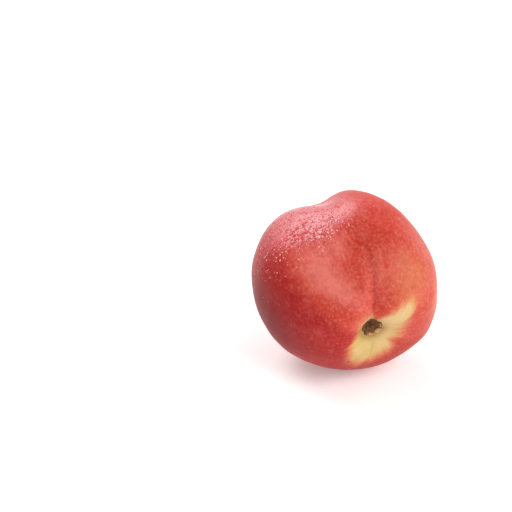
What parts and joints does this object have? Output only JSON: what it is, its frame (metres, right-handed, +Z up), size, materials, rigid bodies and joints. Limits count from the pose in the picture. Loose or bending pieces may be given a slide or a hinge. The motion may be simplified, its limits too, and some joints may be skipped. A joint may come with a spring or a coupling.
{
  "type": "nectarine",
  "caption": "Whole nectarine lying on its cheek, with a stem hollow, a suture groove down one side and a small flat spot to rest on.",
  "frame": {"origin": "middle of the flat spot that the fruit rests on", "axes": "+Z up, away from the resting surface; -Y towards the side that shows the stem hollow; +X to the right seen from there"},
  "size_m": [0.0698, 0.0662, 0.0679],
  "materials": {
    "skin": "smooth waxy fruit skin, red blush over cream yellow"
  },
  "bodies": {
    "root": {"nectarine": "skin"}
  },
  "joints": []
}
